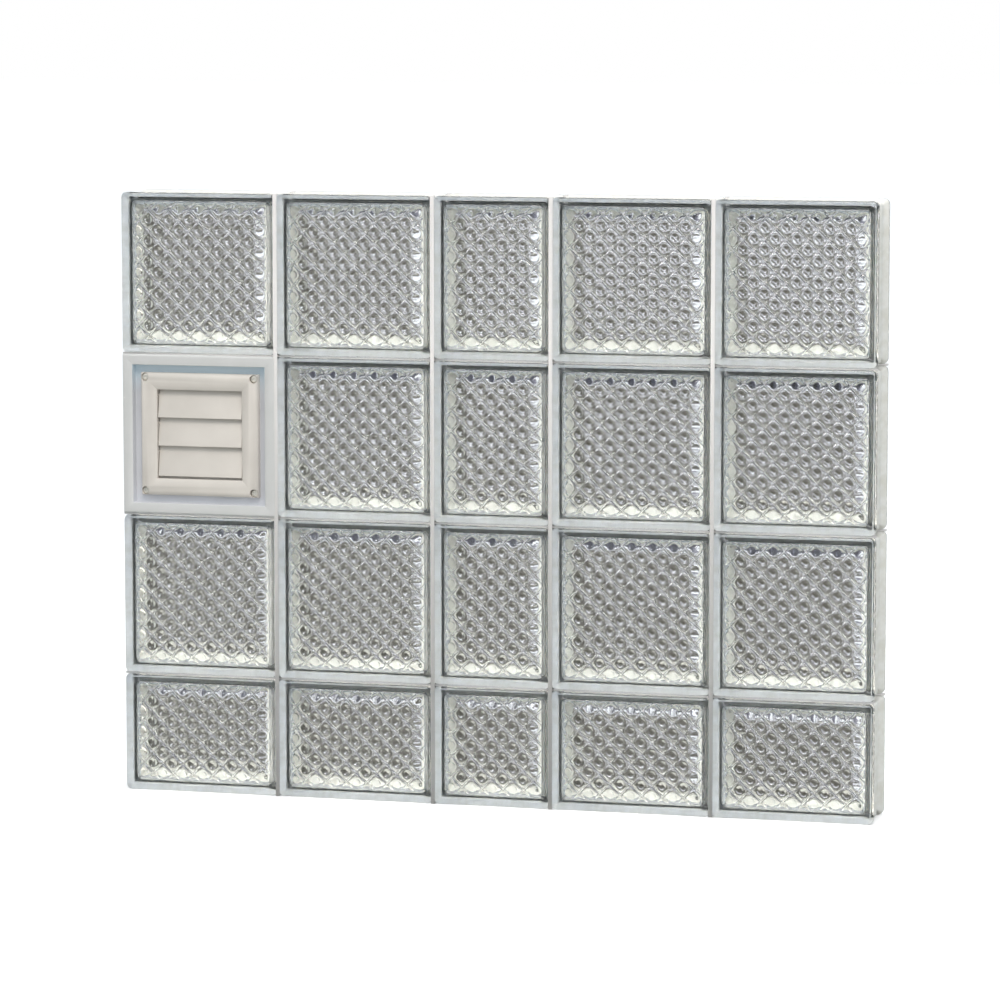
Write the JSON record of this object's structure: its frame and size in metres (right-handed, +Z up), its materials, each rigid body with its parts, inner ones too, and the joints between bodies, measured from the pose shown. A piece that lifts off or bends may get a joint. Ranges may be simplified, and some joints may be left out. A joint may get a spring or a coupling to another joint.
{
  "type": "glass block window panel with dryer vent",
  "caption": "Mortarless window panel of hollow pressed glass blocks with a lattice pattern, bedded in clear sealant, with a louvred dryer vent in place of one block.",
  "frame": {"origin": "on the sill line under the panel, in the middle of its length and of its depth", "axes": "+X along the panel to the right seen from outdoors, -Y out of the outdoor face with the louvres, +Y indoors, +Z up"},
  "size_m": [0.9314, 0.1174, 0.7346],
  "materials": {
    "pressed_glass": "pressed soda-lime glass, smooth rims, lattice and dome pattern inside both faces",
    "edge_coating": "translucent white vinyl coat on the blocks' edges",
    "clear_sealant": "clear silicone, satin, slightly cloudy",
    "white_vinyl": "white rigid vinyl, satin",
    "beige_plastic": "moulded almond plastic, fine satin",
    "duct_plastic": "white extruded pipe, smooth",
    "screw_steel": "zinc-plated small screws"
  },
  "bodies": {
    "panel": {"glass_block_r1_c1": "pressed_glass", "glass_block_r1_c2": "pressed_glass", "glass_block_r1_c3": "pressed_glass", "glass_block_r1_c4": "pressed_glass", "glass_block_r1_c5": "pressed_glass", "glass_block_r2_c2": "pressed_glass", "glass_block_r2_c3": "pressed_glass", "glass_block_r2_c4": "pressed_glass", "glass_block_r2_c5": "pressed_glass", "glass_block_r3_c1": "pressed_glass", "glass_block_r3_c2": "pressed_glass", "glass_block_r3_c3": "pressed_glass", "glass_block_r3_c4": "pressed_glass", "glass_block_r3_c5": "pressed_glass", "glass_block_r4_c1": "pressed_glass", "glass_block_r4_c2": "pressed_glass", "glass_block_r4_c3": "pressed_glass", "glass_block_r4_c4": "pressed_glass", "glass_block_r4_c5": "pressed_glass", "sealant_upright_1": "clear_sealant", "sealant_upright_2": "clear_sealant", "sealant_upright_3": "clear_sealant", "sealant_upright_4": "clear_sealant", "sealant_bed_1": "clear_sealant", "sealant_bed_2": "clear_sealant", "sealant_bed_3": "clear_sealant", "vent_frame": "white_vinyl", "vent_back_panel": "white_vinyl", "vent_cover": "beige_plastic", "duct_pipe": "duct_plastic"},
    "louvre_top_flap": {"louvre_top": "beige_plastic"},
    "louvre_middle_flap": {"louvre_middle": "beige_plastic"},
    "louvre_bottom_flap": {"louvre_bottom": "beige_plastic"}
  },
  "joints": [
    {"name": "louvre_top_hinge", "type": "hinge", "parent": "panel", "child": "louvre_top_flap", "pos_m": [-0.3683, -0.02737, 0.48762], "axis": [-1, 0, 0], "range_deg": [0, 75]},
    {"name": "louvre_middle_hinge", "type": "hinge", "parent": "panel", "child": "louvre_middle_flap", "pos_m": [-0.3683, -0.02737, 0.45303], "axis": [-1, 0, 0], "range_deg": [0, 75]},
    {"name": "louvre_bottom_hinge", "type": "hinge", "parent": "panel", "child": "louvre_bottom_flap", "pos_m": [-0.3683, -0.02737, 0.41842], "axis": [-1, 0, 0], "range_deg": [0, 75]}
  ]
}
